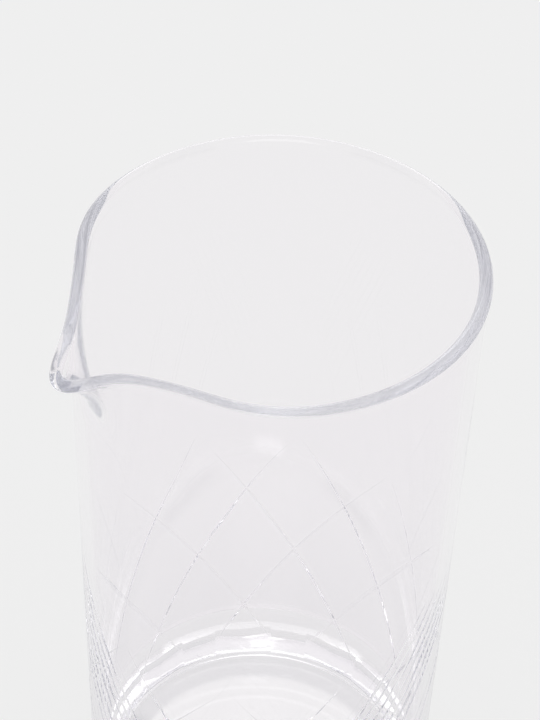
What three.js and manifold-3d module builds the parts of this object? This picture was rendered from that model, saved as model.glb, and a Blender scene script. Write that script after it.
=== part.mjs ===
// Cut-glass mixing jug with a pulled pouring lip, in millimetres, +Z up.
// The origin is the centre of the flat foot, and the lip points along +X.
import * as THREE from 'three';
import Module from 'manifold-3d';

const wasm = await Module();
wasm.setup();

// Driving dimensions of the vessel
const HEIGHT = 180;               // foot to the top of the rim
const RIM_RADIUS = 46;            // centre line of the fire-polished bead
const BEAD_RADIUS = 1.6;
const BEAD_STEP = 0.35;           // how far the bead's centre stands outside the wall's middle
const WALL = 2.7;
const FOOT_RADIUS = 42.4;         // outer radius at the foot
const HEEL_RADIUS = 2.5;          // rounding between foot and wall
const BASE_THICKNESS = 12.7;
const FLOOR_FILLET = 10;          // rounding between the inside floor and the wall
const SEAM_RISE = 3;              // seam between wall and base, above the rounding

// Driving dimensions of the pouring lip, and of the rim that is drawn in and down beside it
const LIP_REACH = 9.25;           // how far the lip stands out beyond the round rim
const LIP_HALF_ANGLE = 8.6;       // degrees at which the lip has fallen to half its reach
const LIP_SHARPNESS = 2.32;
const LIP_DEPTH = 30;             // how far below the rim the lip fades into the wall
const LIP_FALL = 2.2;             // how quickly it fades
const LIP_CLEARANCE = 4;          // plain wall kept between the lip and the cutting
const LIP_DIP = 7.6;              // how far the tip hangs below the rim
const LIP_SWELL = 0.44;           // share by which the glass is thicker at the tip
const RIM_THIN = 0.28;            // share by which it is thinner beside the lip
const RIM_THIN_SPREAD = 45;       // degrees over which that fades
const PINCH = 2.45;               // how far the rim is drawn in beside the lip
const PINCH_TURN = 31.5;          // degrees from the lip at which it is drawn in most
const PINCH_SPREAD = 19;
const RIM_DIP = 1.25;             // how far the rim is drawn down near the lip
const RIM_DIP_SPREAD = 92;

// Driving dimensions of the cutting
const PEAKS = 10;                 // peaks of the mitre cuts round the wall
const CUT_TURN = 10;              // degrees from the lip to the nearest peak
const PEAK_HEIGHT = 87;           // height of the peaks above the foot
const CUT_END = 11;               // height at which the mitre cuts run out
const MITRE_SPREAD = 0.985;       // degrees of turn for each millimetre below the peak
const MITRE_CURVE = 0.0016;       // loss of that turn towards the foot
const MITRE_DEPTH = 0.28;
const MITRE_START = 0.36;         // share of a mitre's length over which it deepens
const MITRE_STOP = 0.21;          // share over which it runs out
const CUT_SLOPE = 1.8;           // half width of a cut for each millimetre of depth
const CUT_LIFT = 0.7;             // how far a cutter stands out of the glass
const CUT_CLEARANCE = 0.05;       // how far its ends lie clear of the glass
const SHEAF_LINES = 7;            // fine cuts side by side in a sheaf
const SHEAF_STEP = 5.5;           // degrees between them
const SHEAF_RISE = 13;            // how far they start above the peaks
const SHEAF_REACH = 2;            // they end at the second mitre that crosses them
const SHEAF_DEPTH = 0.27;
const SHEAF_START = 0.35;         // share of a fine cut's length over which it deepens
const SHEAF_STOP = 0.15;          // share over which it runs out
const LEFT_SHEAF_PEAK = 3;        // peak at which a sheaf runs down to the left
const RIGHT_SHEAF_PEAK = 9;       // peak at which its mirror image runs down to the right

const RADIANS = Math.PI / 180;
const beadHeight = HEIGHT - BEAD_RADIUS;
const topMiddle = RIM_RADIUS - BEAD_STEP;
const footMiddle = FOOT_RADIUS - WALL / 2;
const taper = (topMiddle - footMiddle) / beadHeight;
const lipDepth = Math.min(LIP_DEPTH, beadHeight - PEAK_HEIGHT - SHEAF_RISE - LIP_CLEARANCE);
const filletRadius = Math.min(FLOOR_FILLET, (FOOT_RADIUS - WALL) * 0.6);
const seamHeight = BASE_THICKNESS + filletRadius + SEAM_RISE;

const middleRadius = (z) => footMiddle + taper * z;
const outerRadius = (z) => middleRadius(z) + WALL / 2;

// The lip and the rim beside it, at an angle from the lip's axis, and how they fade down the wall
const bell = (degrees, spread) => Math.exp(-((degrees / spread) ** 2));
const lipShape = (degrees) => 1 / (1 + (Math.abs(degrees) / LIP_HALF_ANGLE) ** LIP_SHARPNESS);

function lipReach(degrees) {
  return LIP_REACH * lipShape(degrees) - PINCH * bell(Math.abs(degrees) - PINCH_TURN, PINCH_SPREAD);
}

function rimDip(degrees) {
  return LIP_DIP * lipShape(degrees) + RIM_DIP * bell(degrees, RIM_DIP_SPREAD);
}

function rimSwell(degrees) {
  return LIP_SWELL * lipShape(degrees) - RIM_THIN * bell(degrees, RIM_THIN_SPREAD);
}

function lipFade(z) {
  const below = Math.max(0, beadHeight - z);
  return below >= lipDepth ? 0 : (1 - below / lipDepth) ** LIP_FALL;
}

// Angles of the ring, close together round the lip
function ringAngles() {
  const lipSpan = 40;
  const close = 36;
  const wide = 52;
  const list = [];
  for (let i = 0; i < close; i += 1) list.push(-lipSpan + 2 * lipSpan * i / close);
  for (let i = 0; i < wide; i += 1) list.push(lipSpan + (360 - 2 * lipSpan) * i / wide);
  return list;
}

// A point of the section, set off squarely from the wall's plan curve at that height
function ringPoint(degrees, point) {
  const fade = point.fade;
  const step = 0.05;
  const signed = degrees > 180 ? degrees - 360 : degrees;
  const radius = point.middle + lipReach(signed) * fade;
  const rise = (lipReach(signed + step) - lipReach(signed - step)) * fade / (2 * step * RADIANS);
  const length = Math.hypot(radius, rise);
  const c = Math.cos(degrees * RADIANS);
  const s = Math.sin(degrees * RADIANS);
  const nx = (radius * c + rise * s) / length;
  const ny = (radius * s - rise * c) / length;
  const size = 1 + rimSwell(signed) * fade;
  return [
    radius * c + size * point.offset * nx,
    radius * s + size * point.offset * ny,
    point.z + size * point.lift - rimDip(signed) * fade,
  ];
}

// A body swept round the axis from a closed section, whose points may lie on the axis
function sweptBody(section, angles) {
  const positions = [];
  const rows = section.map((point) => {
    if (point.middle === 0) {
      positions.push([0, 0, point.z]);
      return angles.map(() => positions.length - 1);
    }
    return angles.map((degrees) => positions.push(ringPoint(degrees, point)) - 1);
  });
  const triangles = [];
  const face = (a, b, c) => {
    if (a !== b && b !== c && c !== a) triangles.push(a, b, c);
  };
  for (let i = 0; i < rows.length; i += 1) {
    const low = rows[i];
    const high = rows[(i + 1) % rows.length];
    if (section[i].middle === 0 && section[(i + 1) % rows.length].middle === 0) continue;
    for (let j = 0; j < angles.length; j += 1) {
      const k = (j + 1) % angles.length;
      face(low[j], low[k], high[k]);
      face(low[j], high[k], high[j]);
    }
  }
  return solid(positions, triangles);
}

function solid(positions, triangles) {
  const mesh = new wasm.Mesh({
    numProp: 3,
    vertProperties: new Float32Array(positions.flat()),
    triVerts: new Uint32Array(triangles),
  });
  return new wasm.Manifold(mesh);
}

const wallPoint = (z, side) => ({
  middle: middleRadius(z), offset: side * WALL / 2, z, lift: 0, fade: lipFade(z),
});

// The wall with its bead: outside from the seam up, over the rim and down the inside
function wallSection() {
  const points = [wallPoint(seamHeight, 1)];
  const lipStart = beadHeight - lipDepth;
  const outerEdge = outerRadius(beadHeight) - RIM_RADIUS;
  const start = -Math.acos(Math.min(0.9, outerEdge / BEAD_RADIUS));
  const underBead = beadHeight + BEAD_RADIUS * Math.sin(start);
  const steps = [0, 0.28, 0.5, 0.68, 0.84, 0.94];
  for (const t of steps) points.push(wallPoint(lipStart + (underBead - lipStart) * t, 1));
  const count = 10;
  for (let i = 0; i <= count; i += 1) {
    const a = start + (Math.PI - start) * i / count;
    points.push({
      middle: RIM_RADIUS,
      offset: BEAD_RADIUS * Math.cos(a),
      z: beadHeight,
      lift: BEAD_RADIUS * Math.sin(a),
      fade: lipFade(beadHeight + BEAD_RADIUS * Math.sin(a)),
    });
  }
  for (const t of [...steps].reverse()) {
    points.push(wallPoint(lipStart + (beadHeight - 1.5 * BEAD_RADIUS - lipStart) * t, -1));
  }
  points.push(wallPoint(seamHeight, -1));
  return points;
}

// The heavy base: foot, heel, a short stretch of wall, the rounded corner and the inside floor
function baseSection() {
  const plain = (radius, z) => ({ middle: radius, offset: 0, z, lift: 0, fade: 0 });
  const points = [plain(0, 0)];
  const heel = Math.min(HEEL_RADIUS, BASE_THICKNESS * 0.6);
  for (let i = 0; i <= 4; i += 1) {
    const a = -Math.PI / 2 + Math.PI / 2 * i / 4;
    points.push(plain(outerRadius(heel) - heel + heel * Math.cos(a), heel + heel * Math.sin(a)));
  }
  points.push(plain(outerRadius(seamHeight), seamHeight));
  points.push(plain(outerRadius(seamHeight) - WALL, seamHeight));
  const cornerRadius = outerRadius(BASE_THICKNESS + filletRadius) - WALL;
  for (let i = 0; i <= 6; i += 1) {
    const a = Math.PI / 2 * i / 6;
    points.push(plain(
      cornerRadius - filletRadius + filletRadius * Math.cos(a),
      BASE_THICKNESS + filletRadius - filletRadius * Math.sin(a),
    ));
  }
  points.push(plain(0, BASE_THICKNESS));
  return points;
}

// A cut: a V of constant angle that follows stations of angle, height and depth on the outer wall
function wallCut(stations) {
  const onWall = (angle, z, radius) => new THREE.Vector3(
    radius * Math.cos(angle * RADIANS), radius * Math.sin(angle * RADIANS), z,
  );
  const where = stations.map((s) => onWall(s.angle, s.z, outerRadius(s.z)));
  const positions = [];
  stations.forEach((s, i) => {
    const before = where[Math.max(i - 1, 0)];
    const after = where[Math.min(i + 1, where.length - 1)];
    const out = onWall(s.angle, -taper, 1).normalize();
    const side = after.clone().sub(before).cross(out).normalize();
    const half = CUT_SLOPE * (s.depth + CUT_LIFT);
    const top = where[i].clone().addScaledVector(out, CUT_LIFT);
    positions.push(where[i].clone().addScaledVector(out, -s.depth).toArray());
    positions.push(top.clone().addScaledVector(side, half).toArray());
    positions.push(top.clone().addScaledVector(side, -half).toArray());
  });
  const last = (stations.length - 1) * 3;
  const triangles = [0, 1, 2, last, last + 2, last + 1];
  for (let i = 0; i < stations.length - 1; i += 1) {
    for (let j = 0; j < 3; j += 1) {
      const a = i * 3 + j;
      const b = i * 3 + (j + 1) % 3;
      triangles.push(a, b + 3, b, a, a + 3, b + 3);
    }
  }
  return solid(positions, triangles);
}

// Degrees that a mitre has turned at a depth below its peak, and the depth at which it has turned so far
const mitreTurn = (below) => MITRE_SPREAD * below - MITRE_CURVE * below * below;
const fallForTurn = (degrees) => (
  (MITRE_SPREAD - Math.sqrt(MITRE_SPREAD ** 2 - 4 * MITRE_CURVE * degrees)) / (2 * MITRE_CURVE)
);

// A cut that follows a mitre of one peak, some degrees aside, from above the peak to a depth below it
function pathCut({ peak, hand, aside, rise, fall, depth, start, stop, steps }) {
  const stations = [];
  for (let i = 0; i <= steps; i += 1) {
    const t = i / steps;
    const below = -rise + (fall + rise) * t;
    const ends = i === 0 || i === steps;
    stations.push({
      angle: CUT_TURN + peak * 360 / PEAKS + hand * (aside + mitreTurn(below)),
      z: PEAK_HEIGHT - below,
      depth: ends ? -CUT_CLEARANCE : depth * Math.min(1, t / start, (1 - t) / stop),
    });
  }
  return wallCut(stations);
}

// A long mitre cut, from its peak down to where the cutting ends
function mitreCut(peak, hand) {
  return pathCut({
    peak, hand, aside: 0, rise: 0, fall: PEAK_HEIGHT - CUT_END, depth: MITRE_DEPTH,
    start: MITRE_START, stop: MITRE_STOP, steps: 12,
  });
}

// A sheaf of fine cuts beside one mitre
function sheafCuts(peak, hand) {
  const cuts = [];
  for (let line = 0; line < SHEAF_LINES; line += 1) {
    const aside = SHEAF_STEP * (line - (SHEAF_LINES - 1) / 2);
    const fall = fallForTurn((SHEAF_REACH * 360 / PEAKS - aside) / 2);
    cuts.push(pathCut({
      peak, hand, aside, rise: SHEAF_RISE, fall, depth: SHEAF_DEPTH,
      start: SHEAF_START, stop: SHEAF_STOP, steps: 7,
    }));
  }
  return cuts;
}

// All the cuts: two long mitres from each peak, and the two sheaves
function allCuts() {
  const cuts = [...sheafCuts(LEFT_SHEAF_PEAK, -1), ...sheafCuts(RIGHT_SHEAF_PEAK, 1)];
  for (let peak = 0; peak < PEAKS; peak += 1) cuts.push(mitreCut(peak, -1), mitreCut(peak, 1));
  return wasm.Manifold.union(cuts);
}

// A named mesh from a finished body
function namedMesh(body, name, colour) {
  const mesh = body.getMesh();
  const geometry = new THREE.BufferGeometry();
  geometry.setAttribute('position', new THREE.BufferAttribute(new Float32Array(mesh.vertProperties), 3));
  geometry.setIndex(new THREE.BufferAttribute(new Uint32Array(mesh.triVerts), 1));
  geometry.computeVertexNormals();
  const material = new THREE.MeshStandardMaterial({ color: colour, roughness: 0.03, metalness: 0 });
  const result = new THREE.Mesh(geometry, material);
  result.name = name;
  return result;
}

const angles = ringAngles();
const cuts = allCuts();
const group = new THREE.Group();
group.name = 'mixing_jug';
group.add(namedMesh(sweptBody(wallSection(), angles).subtract(cuts), 'glass_wall', 0xe9e6ee));
group.add(namedMesh(sweptBody(baseSection(), angles).subtract(cuts), 'glass_base', 0xe6e3ea));

export default group;
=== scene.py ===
"""A clear cut-glass mixing jug with a pulled pouring lip, dressed over its CAD frame."""
import math

import bpy
from mathutils import Matrix, Vector


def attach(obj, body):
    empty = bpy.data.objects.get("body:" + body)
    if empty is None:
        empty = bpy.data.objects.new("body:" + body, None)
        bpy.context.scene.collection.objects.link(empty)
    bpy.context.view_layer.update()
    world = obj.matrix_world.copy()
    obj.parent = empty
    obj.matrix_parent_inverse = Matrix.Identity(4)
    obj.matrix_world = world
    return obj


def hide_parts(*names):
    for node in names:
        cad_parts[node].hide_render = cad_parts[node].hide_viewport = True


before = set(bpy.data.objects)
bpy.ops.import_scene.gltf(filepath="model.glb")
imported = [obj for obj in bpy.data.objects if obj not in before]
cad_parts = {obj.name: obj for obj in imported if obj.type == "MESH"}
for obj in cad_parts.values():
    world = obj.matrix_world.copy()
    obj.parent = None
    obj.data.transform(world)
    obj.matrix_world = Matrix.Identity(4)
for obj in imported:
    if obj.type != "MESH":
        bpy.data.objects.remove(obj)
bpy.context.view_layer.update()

# Sizes of the vessel, in millimetres, as the CAD has them
MM = 0.001
HEIGHT = 180.0
RIM_RADIUS = 46.0
BEAD_RADIUS = 1.6
BEAD_STEP = 0.35
WALL = 2.7
FOOT_RADIUS = 42.4
HEEL_RADIUS = 2.5
BASE_THICKNESS = 12.7
FLOOR_FILLET = 10.0
SEAM_RISE = 3.0

# The lap that keeps the seam from showing, and the soft blend of the wall into the bead
SEAM_LAP = 0.03
BEAD_NECK = 0.7
BEAD_BLEND = 0.42
BEAD_INNER_DROP = 1.5 * BEAD_RADIUS

# Steps of the swept sections and rings
LIP_ZONE = 40.0
CLOSE_STEPS = 128
WIDE_STEPS = 224
WALL_STEPS = 18
BEAD_STEPS = 22
BLEND_STEPS = 5
HEEL_STEPS = 8
FILLET_STEPS = 18

# Sizes of the pouring lip
LIP_REACH = 9.25
LIP_HALF_ANGLE = 8.6
LIP_SHARPNESS = 2.32
LIP_DEPTH = 30.0
LIP_FALL = 2.2
LIP_DIP = 7.6
LIP_SWELL = 0.44
RIM_THIN = 0.28
RIM_THIN_SPREAD = 45.0
PINCH = 2.45
PINCH_TURN = 31.5
PINCH_SPREAD = 19.0
RIM_DIP = 1.25
RIM_DIP_SPREAD = 92.0

# Sizes of the cutting. The cuts are wider than the CAD's and the mitres shallower, so that light passes them
PEAKS = 10
CUT_TURN = 10.0
PEAK_HEIGHT = 87.0
CUT_END = 11.0
MITRE_SPREAD = 0.985
MITRE_CURVE = 0.0016
MITRE_DEPTH = 0.2
MITRE_SLOPE = 3.4
MITRE_STEPS = 56
MITRE_FADE_IN = 5 / 14
MITRE_FADE_OUT = 3 / 14
MITRE_END_RISE = 0.05
SHEAF_LINES = 7
SHEAF_STEP = 5.5
SHEAF_RISE = 13.0
SHEAF_DEPTH = 0.27
SHEAF_SLOPE = 2.4
SHEAF_REACH = 2
SHEAF_STEPS = 28
SHEAF_FADE_IN = 0.35
SHEAF_FADE_OUT = 0.15
SHEAF_END_RISE = 0.04
LEFT_SHEAF_PEAK = 3
RIGHT_SHEAF_PEAK = 9
CUT_LIFT = 0.7
PLAIN_MARGIN = 4.0

# The angle of a sharp edge, and how near to the cone a face takes the cone's own normals
SHARP_ANGLE = 14.0
CONE_NEAR = 0.2
CONE_ANGLE = 6.0

BEAD_HEIGHT = HEIGHT - BEAD_RADIUS
TOP_MIDDLE = RIM_RADIUS - BEAD_STEP
FOOT_MIDDLE = FOOT_RADIUS - WALL / 2
TAPER = (TOP_MIDDLE - FOOT_MIDDLE) / BEAD_HEIGHT
SEAM_HEIGHT = BASE_THICKNESS + FLOOR_FILLET + SEAM_RISE
PLAIN_HEIGHT = PEAK_HEIGHT + SHEAF_RISE + PLAIN_MARGIN

# The photograph's camera, fitted to the rim and the wall's outlines
CAMERA_TURN = 56.3
CAMERA_ELEVATION = 42.3065
CAMERA_DISTANCE = 618.9765
CAMERA_ROLL = 2.3049
CAMERA_ASIDE = -1.8164
CAMERA_RISE = -20.1893
CAMERA_LENS = 140.0
CAMERA_SENSOR = 36.0

# Tones of the glass, its loss with depth, and the faint waves of its surface
WALL_TINT = (0.99, 0.977, 0.99)
BASE_TINT = (1.0, 0.994, 0.999)
DEPTH_TINT = (0.48, 0.52, 0.61)
WALL_LOSS = 1.9
BASE_LOSS = 0.5
GLASS_IOR = 1.5
WAVE_SCALE = 22.0
WAVE_STRENGTH = 0.02
WAVE_DISTANCE = 0.002

# The studio. Each zone is degrees aside from straight ahead, degrees above the floor, and a tone
PALE = (0.864, 0.864, 0.864)
LIGHT_LEVEL = 0.985
DARK_CARDS = ((46.0, 138.0), (12.0, 24.0), (0.45, 0.45, 0.48))
CEILING = ((-20.0, 200.0), (46.0, 100.0), (0.94, 0.94, 0.94))
PANEL_AHEAD = ((-20.0, 14.0), (8.0, 30.0), (2.2, 2.2, 2.2))
PANEL_BEHIND = ((162.0, 200.0), (44.0, 74.0), (2.2, 2.2, 2.2))
ZONE_SOFT = 11.0

# The floor, in millimetres, with the painted light and shade that glass sees: a painted glow under the foot,
# painted shade under the heel and a painted shadow round it
FLOOR_REACH = 30000.0
FLOOR_DROP = 0.2
FLOOR_MATT = (0.88, 0.88, 0.88)
FLOOR_PALE = 0.92
GLOW_TONE = (0.94, 0.94, 0.94)
SHADE_TONE = (0.48, 0.48, 0.51)
SHADE_TURNS = (74.0, 114.0)
SHADE_TURN_SOFT = 18.0
SHADE_ROUND = 0.3
SHADE_RING = (35.5, 40.5)
SHADE_RING_SOFT = 2.5
SHADOW_SHARE = 0.2
SHADOW_REACH = 130.0

# Bounces for light that runs a long way inside the wall and the base, and for plain surfaces
GLASS_BOUNCES = 160
PLAIN_BOUNCES = 12


def middle_radius(z):
    return FOOT_MIDDLE + TAPER * z


def outer_radius(z):
    return middle_radius(z) + WALL / 2


def lip_shape(degrees):
    return 1 / (1 + (abs(degrees) / LIP_HALF_ANGLE) ** LIP_SHARPNESS)


def bell(degrees, spread):
    return math.exp(-((degrees / spread) ** 2))


def lip_reach(degrees):
    return LIP_REACH * lip_shape(degrees) - PINCH * bell(abs(degrees) - PINCH_TURN, PINCH_SPREAD)


def rim_dip(degrees):
    return LIP_DIP * lip_shape(degrees) + RIM_DIP * bell(degrees, RIM_DIP_SPREAD)


def rim_swell(degrees):
    return LIP_SWELL * lip_shape(degrees) - RIM_THIN * bell(degrees, RIM_THIN_SPREAD)


def lip_fade(z):
    below = max(0.0, BEAD_HEIGHT - z)
    return 0.0 if below >= LIP_DEPTH else (1 - below / LIP_DEPTH) ** LIP_FALL


def ring_angles():
    """Angles of the rings in degrees, close together round the lip."""
    close = [-LIP_ZONE + 2 * LIP_ZONE * i / CLOSE_STEPS for i in range(CLOSE_STEPS)]
    wide = [LIP_ZONE + (360 - 2 * LIP_ZONE) * i / WIDE_STEPS for i in range(WIDE_STEPS)]
    return close + wide


def ring_point(degrees, middle, offset, z, lift, fade):
    """A point of the section, set off squarely from the wall's plan curve at that height."""
    signed = degrees - 360 if degrees > 180 else degrees
    step = 0.05
    radius = middle + lip_reach(signed) * fade
    rise = (lip_reach(signed + step) - lip_reach(signed - step)) * fade / math.radians(2 * step)
    length = math.hypot(radius, rise)
    c = math.cos(math.radians(degrees))
    s = math.sin(math.radians(degrees))
    across = (radius * c + rise * s) / length
    along = (radius * s - rise * c) / length
    size = 1 + rim_swell(signed) * fade
    height = z + size * lift - rim_dip(signed) * fade
    return (radius * c + size * offset * across, radius * s + size * offset * along, height)


def swept_mesh(name, section):
    """A closed mesh from a section of (middle radius, offset, height, lift, fade); radius 0 is a pole."""
    angles = ring_angles()
    points = []
    rows = []
    for middle, offset, z, lift, fade in section:
        if middle == 0:
            points.append((0.0, 0.0, z))
            rows.append([len(points) - 1] * len(angles))
            continue
        start = len(points)
        points.extend(ring_point(a, middle, offset, z, lift, fade) for a in angles)
        rows.append(list(range(start, len(points))))
    faces = []
    for i, low in enumerate(rows):
        high = rows[(i + 1) % len(rows)]
        if low[0] == low[1] and high[0] == high[1]:
            continue
        for j in range(len(angles)):
            k = (j + 1) % len(angles)
            corners = [low[j], low[k], high[k], high[j]]
            faces.append([v for n, v in enumerate(corners) if v not in corners[:n]])
    mesh = bpy.data.meshes.new(name)
    mesh.from_pydata([tuple(c * MM for c in p) for p in points], [], faces)
    mesh.validate()
    return mesh


def wall_section():
    """Outside from the seam up, over the bead and down the inside."""
    def wall_point(z, side):
        return (middle_radius(z), side * WALL / 2, z, 0, lip_fade(z))

    def bead_point(across, up):
        return (RIM_RADIUS, across, BEAD_HEIGHT, up, lip_fade(BEAD_HEIGHT + up))

    low = SEAM_HEIGHT - SEAM_LAP
    lip_start = BEAD_HEIGHT - LIP_DEPTH
    edge = outer_radius(BEAD_HEIGHT) - RIM_RADIUS
    crease = -math.acos(edge / BEAD_RADIUS)
    under = BEAD_RADIUS * math.sin(crease)
    neck = under - BEAD_NECK
    points = [wall_point(low, 1), wall_point(PLAIN_HEIGHT, 1)]
    points += [wall_point(lip_start + (LIP_DEPTH + neck) * i / WALL_STEPS, 1) for i in range(WALL_STEPS + 1)]
    blend_end = crease + BEAD_BLEND
    start = (outer_radius(BEAD_HEIGHT + neck) - RIM_RADIUS, neck)
    corner = (edge, under)
    end = (BEAD_RADIUS * math.cos(blend_end), BEAD_RADIUS * math.sin(blend_end))
    for i in range(1, BLEND_STEPS):
        t = i / BLEND_STEPS
        x = (1 - t) ** 2 * start[0] + 2 * t * (1 - t) * corner[0] + t * t * end[0]
        z = (1 - t) ** 2 * start[1] + 2 * t * (1 - t) * corner[1] + t * t * end[1]
        points.append(bead_point(x, z))
    for i in range(BEAD_STEPS + 1):
        a = blend_end + (math.pi - blend_end) * i / BEAD_STEPS
        points.append(bead_point(BEAD_RADIUS * math.cos(a), BEAD_RADIUS * math.sin(a)))
    inner_rise = LIP_DEPTH - BEAD_INNER_DROP
    points += [wall_point(lip_start + inner_rise * i / WALL_STEPS, -1) for i in range(WALL_STEPS, -1, -1)]
    points.append(wall_point(low, -1))
    return points


def base_section():
    """Foot, heel, a short stretch of wall, the rounded inside corner and the inside floor."""
    def plain(radius, z):
        return (radius, 0, z, 0, 0)

    high = SEAM_HEIGHT + SEAM_LAP
    points = [plain(0, 0), plain(FOOT_RADIUS / 2, 0)]
    for i in range(HEEL_STEPS + 1):
        a = -math.pi / 2 + math.pi / 2 * i / HEEL_STEPS
        radius = outer_radius(HEEL_RADIUS) - HEEL_RADIUS + HEEL_RADIUS * math.cos(a)
        points.append(plain(radius, HEEL_RADIUS + HEEL_RADIUS * math.sin(a)))
    points.append(plain(outer_radius(high), high))
    points.append(plain(outer_radius(high) - WALL, high))
    corner = outer_radius(BASE_THICKNESS + FLOOR_FILLET) - WALL
    for i in range(FILLET_STEPS + 1):
        a = math.pi / 2 * i / FILLET_STEPS
        radius = corner - FLOOR_FILLET + FLOOR_FILLET * math.cos(a)
        points.append(plain(radius, BASE_THICKNESS + FLOOR_FILLET - FLOOR_FILLET * math.sin(a)))
    points += [plain(FOOT_RADIUS / 3, BASE_THICKNESS), plain(0, BASE_THICKNESS)]
    return points


def mitre_turn(below):
    return MITRE_SPREAD * below - MITRE_CURVE * below * below


def cut_mesh(name, cuts, slope):
    """Closed V-shaped cutters; each cut is a list of (degrees, height, depth) on the outer wall."""
    points = []
    faces = []
    for cut in cuts:
        where = []
        for degrees, z, depth in cut:
            a = math.radians(degrees)
            where.append(Vector((outer_radius(z) * math.cos(a), outer_radius(z) * math.sin(a), z)))
        start = len(points)
        for i, (degrees, z, depth) in enumerate(cut):
            a = math.radians(degrees)
            out = Vector((math.cos(a), math.sin(a), -TAPER)).normalized()
            along = (where[min(i + 1, len(cut) - 1)] - where[max(i - 1, 0)]).normalized()
            side = along.cross(out).normalized()
            half = slope * (depth + CUT_LIFT)
            points.append(where[i] - out * depth)
            points.append(where[i] + out * CUT_LIFT + side * half)
            points.append(where[i] + out * CUT_LIFT - side * half)
        last = start + 3 * (len(cut) - 1)
        faces.append((start, start + 1, start + 2))
        faces.append((last + 2, last + 1, last))
        for i in range(len(cut) - 1):
            for j in range(3):
                a = start + 3 * i + j
                b = start + 3 * i + (j + 1) % 3
                faces.append((a, a + 3, b + 3, b))
    mesh = bpy.data.meshes.new(name)
    mesh.from_pydata([tuple(p * MM) for p in points], [], faces)
    mesh.validate()
    return bpy.data.objects.new(name, mesh)


def mitre_path(hand):
    """A long cut from a peak down to the base, fading in and out."""
    path = []
    for i in range(MITRE_STEPS + 1):
        t = i / MITRE_STEPS
        below = (PEAK_HEIGHT - CUT_END) * t
        depth = MITRE_DEPTH * min(1.0, t / MITRE_FADE_IN, (1 - t) / MITRE_FADE_OUT)
        if i in (0, MITRE_STEPS):
            depth = -MITRE_END_RISE
        path.append((hand * mitre_turn(below), PEAK_HEIGHT - below, depth))
    return path


def fall_for_turn(degrees):
    """How far below the peaks a mitre has turned by that many degrees."""
    return (MITRE_SPREAD - math.sqrt(MITRE_SPREAD ** 2 - 4 * MITRE_CURVE * degrees)) / (2 * MITRE_CURVE)


def sheaf_path(line, hand):
    """A fine cut beside a mitre, from above its peak down to the second mitre that crosses it."""
    aside = SHEAF_STEP * (line - (SHEAF_LINES - 1) / 2)
    end = fall_for_turn((SHEAF_REACH * 360 / PEAKS - aside) / 2)
    path = []
    for i in range(SHEAF_STEPS + 1):
        t = i / SHEAF_STEPS
        below = -SHEAF_RISE + (end + SHEAF_RISE) * t
        depth = SHEAF_DEPTH * min(1.0, t / SHEAF_FADE_IN, (1 - t) / SHEAF_FADE_OUT)
        if i in (0, SHEAF_STEPS):
            depth = -SHEAF_END_RISE
        path.append((hand * (aside + mitre_turn(below)), PEAK_HEIGHT - below, depth))
    return path


class Value:
    """A socket of a node tree that takes part in sums."""

    def __init__(self, graph, socket):
        self.graph = graph
        self.socket = socket

    def math(self, operation, other, swapped=False):
        pair = (other, self) if swapped else (self, other)
        return self.graph.node("ShaderNodeMath", {"operation": operation}, {0: pair[0], 1: pair[1]})

    def __add__(self, other):
        return self.math("ADD", other)

    def __radd__(self, other):
        return self.math("ADD", other, True)

    def __sub__(self, other):
        return self.math("SUBTRACT", other)

    def __rsub__(self, other):
        return self.math("SUBTRACT", other, True)

    def __mul__(self, other):
        return self.math("MULTIPLY", other)

    def __rmul__(self, other):
        return self.math("MULTIPLY", other, True)

    def __truediv__(self, other):
        return self.math("DIVIDE", other)

    def __rtruediv__(self, other):
        return self.math("DIVIDE", other, True)


class Graph:
    """A node tree whose nodes come from one method."""

    def __init__(self, tree):
        self.tree = tree

    def node(self, kind, settings=None, sockets=None, out=0):
        made = self.tree.nodes.new(kind)
        for name, value in (settings or {}).items():
            setattr(made, name, value)
        for name, value in (sockets or {}).items():
            if isinstance(value, Value):
                self.tree.links.new(value.socket, made.inputs[name])
            else:
                made.inputs[name].default_value = value
        return Value(self, made.outputs[out]) if made.outputs else made

    def dot(self, vector, axis):
        return self.node("ShaderNodeVectorMath", {"operation": "DOT_PRODUCT"}, {0: vector, 1: axis}, "Value")

    def ease(self, value, low, high):
        """0 at low and 1 at high, with a soft start and end."""
        return self.node("ShaderNodeMapRange", {"interpolation_type": "SMOOTHSTEP"},
                         {"Value": value, "From Min": low, "From Max": high})


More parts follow.
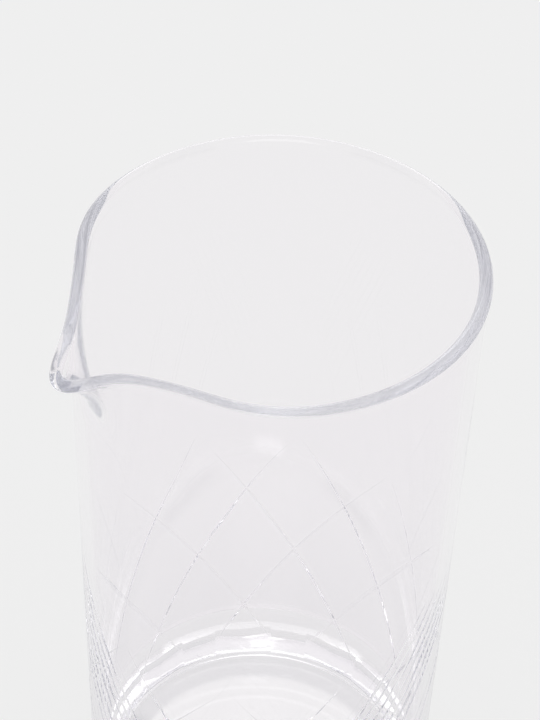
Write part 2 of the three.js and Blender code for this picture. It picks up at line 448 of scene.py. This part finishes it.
def cutting_tree():
    """Cuts the wall: each cutter is set round the axis, and the rings of cutters are taken from the body."""
    tree = bpy.data.node_groups.new("cut round the wall", "GeometryNodeTree")
    face = tree.interface
    face.new_socket("Body", in_out="INPUT", socket_type="NodeSocketGeometry")
    face.new_socket("Cut body", in_out="OUTPUT", socket_type="NodeSocketGeometry")
    names = ["Mitre to the right", "Mitre to the left", "Sheaf to the right", "Sheaf to the left"]
    for name in names:
        face.new_socket(name, in_out="INPUT", socket_type="NodeSocketObject")
        face.new_socket(name + ", count", in_out="INPUT", socket_type="NodeSocketInt")
        face.new_socket(name + ", first angle", in_out="INPUT", socket_type="NodeSocketFloat")
    face.new_socket("Glass", in_out="INPUT", socket_type="NodeSocketMaterial")
    graph = Graph(tree)
    given = tree.nodes.new("NodeGroupInput")
    taken = {s.name: Value(graph, s) for s in given.outputs if s.name}
    index = graph.node("GeometryNodeInputIndex")
    body = taken["Body"]
    for name in names:
        count = taken[name + ", count"]
        turn = 2 * math.pi * index / count + taken[name + ", first angle"]
        rotation = graph.node("FunctionNodeAxisAngleToRotation", None, {"Axis": (0, 0, 1), "Angle": turn})
        places = graph.node("GeometryNodeMeshLine", {"mode": "OFFSET"},
                            {"Count": count, "Offset": (0, 0, 0)})
        cutter = graph.node("GeometryNodeObjectInfo", None, {"Object": taken[name]}, "Geometry")
        ring = graph.node("GeometryNodeInstanceOnPoints", None,
                          {"Points": places, "Instance": cutter, "Rotation": rotation})
        solid = graph.node("GeometryNodeRealizeInstances", None, {"Geometry": ring})
        body = graph.node("GeometryNodeMeshBoolean", {"operation": "DIFFERENCE", "solver": "MANIFOLD"},
                          {"Mesh 1": body, "Mesh 2": solid})
    whole = graph.node("GeometryNodeRealizeInstances", None, {"Geometry": body})
    dressed = graph.node("GeometryNodeSetMaterial", None, {"Geometry": whole, "Material": taken["Glass"]})
    result = tree.nodes.new("NodeGroupOutput")
    tree.links.new(dressed.socket, result.inputs[0])
    return tree


def set_modifier_inputs(modifier, values):
    for item in modifier.node_group.interface.items_tree:
        if item.in_out == "INPUT" and item.name in values:
            modifier[item.identifier] = values[item.name]


def true_normals(mesh):
    """Sharp edges at the cuts, and the cone's own normals on the smooth wall between them."""
    mesh.shade_smooth()
    mesh.set_sharp_from_angle(angle=math.radians(SHARP_ANGLE))
    corner_normals = [tuple(n.vector) for n in mesh.corner_normals]
    low = (HEEL_RADIUS + CONE_NEAR) * MM
    high = (PLAIN_HEIGHT + CONE_NEAR) * MM
    for polygon in mesh.polygons:
        for loop in polygon.loop_indices:
            place = mesh.vertices[mesh.loops[loop].vertex_index].co
            radius = math.hypot(place.x, place.y)
            if not low < place.z < high or radius < (outer_radius(place.z / MM) - CONE_NEAR) * MM:
                continue
            true = Vector((place.x / radius, place.y / radius, -TAPER)).normalized()
            if true.dot(polygon.normal) > math.cos(math.radians(CONE_ANGLE)):
                corner_normals[loop] = tuple(true)
    mesh.normals_split_custom_set(corner_normals)


def glass_material(name, tint, loss):
    """Clear, polished glass with a faint tint and the slight unevenness of a blown wall."""
    material = bpy.data.materials.new(name)
    material.use_nodes = True
    tree = material.node_tree
    tree.nodes.clear()
    graph = Graph(tree)
    place = graph.node("ShaderNodeTexCoord", None, None, "Object")
    waves = graph.node("ShaderNodeTexNoise", {"noise_dimensions": "3D"},
                       {"Vector": place, "Scale": WAVE_SCALE, "Detail": 1.0, "Roughness": 0.4})
    uneven = graph.node("ShaderNodeBump", None,
                        {"Strength": WAVE_STRENGTH, "Distance": WAVE_DISTANCE, "Height": waves})
    shader = graph.node("ShaderNodeBsdfPrincipled", None, {
        "Base Color": (*tint, 1.0), "Roughness": 0.0, "IOR": GLASS_IOR, "Transmission Weight": 1.0,
        "Normal": uneven})
    inside = graph.node("ShaderNodeVolumeAbsorption", None, {"Color": (*DEPTH_TINT, 1.0), "Density": loss})
    graph.node("ShaderNodeOutputMaterial", None, {"Surface": shader, "Volume": inside})
    return material


def make_cutters():
    """The cutter of each kind, how many stand round the wall, and where the first one does."""
    cutters = {}
    for side, hand, sheaf_peak in (("right", 1, RIGHT_SHEAF_PEAK), ("left", -1, LEFT_SHEAF_PEAK)):
        lines = [sheaf_path(line, hand) for line in range(SHEAF_LINES)]
        kinds = {
            "Mitre to the " + side: ([mitre_path(hand)], MITRE_SLOPE, PEAKS, 0),
            "Sheaf to the " + side: (lines, SHEAF_SLOPE, 1, sheaf_peak),
        }
        for name, (paths, slope, count, peak) in kinds.items():
            cutters[name] = cut_mesh(name, paths, slope)
            cutters[name + ", count"] = count
            cutters[name + ", first angle"] = math.radians(CUT_TURN + peak * 360 / PEAKS)
    return cutters


def glass_piece(name, section, cutters, tree, material, node):
    """One piece of the vessel: swept, cut, and standing for its CAD node."""
    blank = bpy.data.objects.new(name + " blank", swept_mesh(name + " blank", section))
    bpy.context.collection.objects.link(blank)
    modifier = blank.modifiers.new("cutting", "NODES")
    modifier.node_group = tree
    set_modifier_inputs(modifier, {**cutters, "Glass": material})
    bpy.context.view_layer.update()
    depsgraph = bpy.context.evaluated_depsgraph_get()
    mesh = bpy.data.meshes.new_from_object(blank.evaluated_get(depsgraph))
    bpy.data.objects.remove(blank)
    mesh.name = name
    true_normals(mesh)
    piece = bpy.data.objects.new(name, mesh)
    bpy.context.collection.objects.link(piece)
    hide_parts(node)
    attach(piece, "root")


def make_jug():
    tree = cutting_tree()
    cutters = make_cutters()
    wall_glass = glass_material("wall glass", WALL_TINT, WALL_LOSS)
    base_glass = glass_material("base glass", BASE_TINT, BASE_LOSS)
    glass_piece("jug_wall", wall_section(), cutters, tree, wall_glass, "glass_wall")
    glass_piece("jug_base", base_section(), cutters, tree, base_glass, "glass_base")
    for cutter in cutters.values():
        if isinstance(cutter, bpy.types.Object):
            bpy.data.objects.remove(cutter)


def ray_kind(graph, kind):
    return graph.node("ShaderNodeLightPath", None, None, kind)


def glass_ray(graph):
    """1 for what the camera sees mirrored or through glass."""
    return ray_kind(graph, "Is Glossy Ray").math("MAXIMUM", ray_kind(graph, "Is Transmission Ray"))


def within(graph, value, limits, soft):
    """1 between the limits, falling softly to 0 outside them."""
    low, high = limits
    return graph.ease(value, low - soft, low) * graph.ease(value, high + soft, high)


def photo_axes(graph, way):
    """How far a direction or place lies to one side, and how far ahead, as the photograph looks at it."""
    turn = math.radians(CAMERA_TURN)
    aside = graph.dot(way, (-math.sin(turn), math.cos(turn), 0.0))
    ahead = graph.dot(way, (-math.cos(turn), -math.sin(turn), 0.0))
    return aside, ahead


def heading_of(aside, ahead):
    """Degrees away from straight ahead, to either side."""
    return aside.math("ARCTAN2", ahead).math("ABSOLUTE", 0) * (180 / math.pi)


def make_floor():
    """A plain pale floor that runs to the horizon and keeps a soft shadow. Glass also sees painted tones:
    a painted glow under the foot, painted shade under the heel, most at the two sides, and a wide, faint
    painted shadow."""
    mesh = bpy.data.meshes.new("floor")
    corners = [(-1, -1), (1, -1), (1, 1), (-1, 1)]
    reach = FLOOR_REACH * MM
    mesh.from_pydata([(x * reach, y * reach, -FLOOR_DROP * MM) for x, y in corners], [], [(0, 1, 2, 3)])
    floor = bpy.data.objects.new("floor", mesh)
    bpy.context.collection.objects.link(floor)
    material = bpy.data.materials.new("pale floor")
    material.use_nodes = True
    tree = material.node_tree
    tree.nodes.clear()
    graph = Graph(tree)

    def glowing(colour):
        return graph.node("ShaderNodeEmission", None, {"Color": (*colour, 1.0), "Strength": 1.0})

    matt = graph.node("ShaderNodeBsdfDiffuse", None, {"Color": (*FLOOR_MATT, 1.0)})
    aside, ahead = photo_axes(graph, graph.node("ShaderNodeTexCoord", None, None, "Object"))
    distance = (aside * aside + ahead * ahead).math("SQRT", 0) / MM
    # Painted light and shade, for glass rays only: a painted glow under the foot, painted shade under the
    # heel, strongest at the two sides, and a faint painted shadow round the foot
    at_sides = within(graph, heading_of(aside, ahead), SHADE_TURNS, SHADE_TURN_SOFT)
    under_heel = within(graph, distance, SHADE_RING, SHADE_RING_SOFT)
    shade = under_heel * (SHADE_ROUND + (1 - SHADE_ROUND) * at_sides)
    under_foot = graph.ease(distance, FOOT_RADIUS, FOOT_RADIUS - HEEL_RADIUS)
    shadow = graph.ease(distance, SHADOW_REACH, FOOT_RADIUS) * SHADOW_SHARE
    in_glass = glass_ray(graph)
    toned = glowing(PALE)
    for share, colour in ((shadow, SHADE_TONE), (under_foot, GLOW_TONE), (shade, SHADE_TONE)):
        toned = graph.node("ShaderNodeMixShader", None, {0: in_glass * share, 1: toned, 2: glowing(colour)})
    seen = in_glass.math("MAXIMUM", ray_kind(graph, "Is Camera Ray"))
    shader = graph.node("ShaderNodeMixShader", None, {0: seen * FLOOR_PALE, 1: matt, 2: toned})
    graph.node("ShaderNodeOutputMaterial", None, {"Surface": shader})
    mesh.materials.append(material)


def studio_zone(graph, turns, heights):
    """1 in a zone of the studio, in degrees aside from straight ahead and above the floor, else 0."""
    way = graph.node("ShaderNodeTexCoord", None, None, "Generated")
    aside, ahead = photo_axes(graph, way)
    height = graph.dot(way, (0.0, 0.0, 1.0)).math("ARCSINE", 0) * (180 / math.pi)
    heading = heading_of(aside, ahead)
    return within(graph, heading, turns, ZONE_SOFT) * within(graph, height, heights, ZONE_SOFT)


def make_world():
    """Soft white light all round. It is seen as the floor's pale tone, and glass also sees dark cards at the
    sides, a lighter ceiling, and bright panels ahead and behind."""
    world = bpy.data.worlds.new("studio")
    bpy.context.scene.world = world
    world.use_nodes = True
    tree = world.node_tree
    tree.nodes.clear()
    graph = Graph(tree)

    def tone(colour, strength):
        return graph.node("ShaderNodeBackground", None, {"Color": (*colour, 1.0), "Strength": strength})

    in_glass = glass_ray(graph)
    seen = in_glass.math("MAXIMUM", ray_kind(graph, "Is Camera Ray"))
    backdrop = tone(PALE, 1.0)
    for turns, heights, colour in (DARK_CARDS, CEILING, PANEL_AHEAD, PANEL_BEHIND):
        share = in_glass * studio_zone(graph, turns, heights)
        backdrop = graph.node("ShaderNodeMixShader", None, {0: share, 1: backdrop, 2: tone(colour, 1.0)})
    light = tone((1.0, 1.0, 1.0), LIGHT_LEVEL)
    both = graph.node("ShaderNodeMixShader", None, {0: seen, 1: light, 2: backdrop})
    graph.node("ShaderNodeOutputWorld", None, {"Surface": both})


def let_light_through():
    cycles = bpy.context.scene.cycles
    cycles.max_bounces = GLASS_BOUNCES
    cycles.transmission_bounces = GLASS_BOUNCES
    cycles.glossy_bounces = GLASS_BOUNCES
    cycles.diffuse_bounces = PLAIN_BOUNCES


def make_camera():
    """The photograph's camera, set about the rim's centre, then turned round the axis away from the lip."""
    elevation = math.radians(CAMERA_ELEVATION)
    roll = math.radians(CAMERA_ROLL)
    forward = Vector((0.0, math.cos(elevation), -math.sin(elevation)))
    right = Vector((1.0, 0.0, 0.0))
    up = right.cross(forward)
    rolled_right = math.cos(roll) * right + math.sin(roll) * up
    rolled_up = -math.sin(roll) * right + math.cos(roll) * up
    place = -CAMERA_DISTANCE * forward + CAMERA_ASIDE * rolled_right + CAMERA_RISE * rolled_up
    basis = Matrix((rolled_right, rolled_up, -forward)).transposed().to_4x4()
    basis.translation = place * MM
    turned = Matrix.Rotation(math.radians(CAMERA_TURN + 90), 4, "Z")
    raised = Matrix.Translation((0.0, 0.0, BEAD_HEIGHT * MM))
    data = bpy.data.cameras.new("camera")
    data.lens = CAMERA_LENS
    data.sensor_width = CAMERA_SENSOR
    data.clip_start = 0.01
    data.clip_end = 100.0
    camera = bpy.data.objects.new("camera", data)
    camera.matrix_world = raised @ turned @ basis
    bpy.context.collection.objects.link(camera)
    bpy.context.scene.camera = camera


make_jug()
make_floor()
make_world()
let_light_through()
make_camera()
bpy.context.scene.view_settings.view_transform = "Standard"
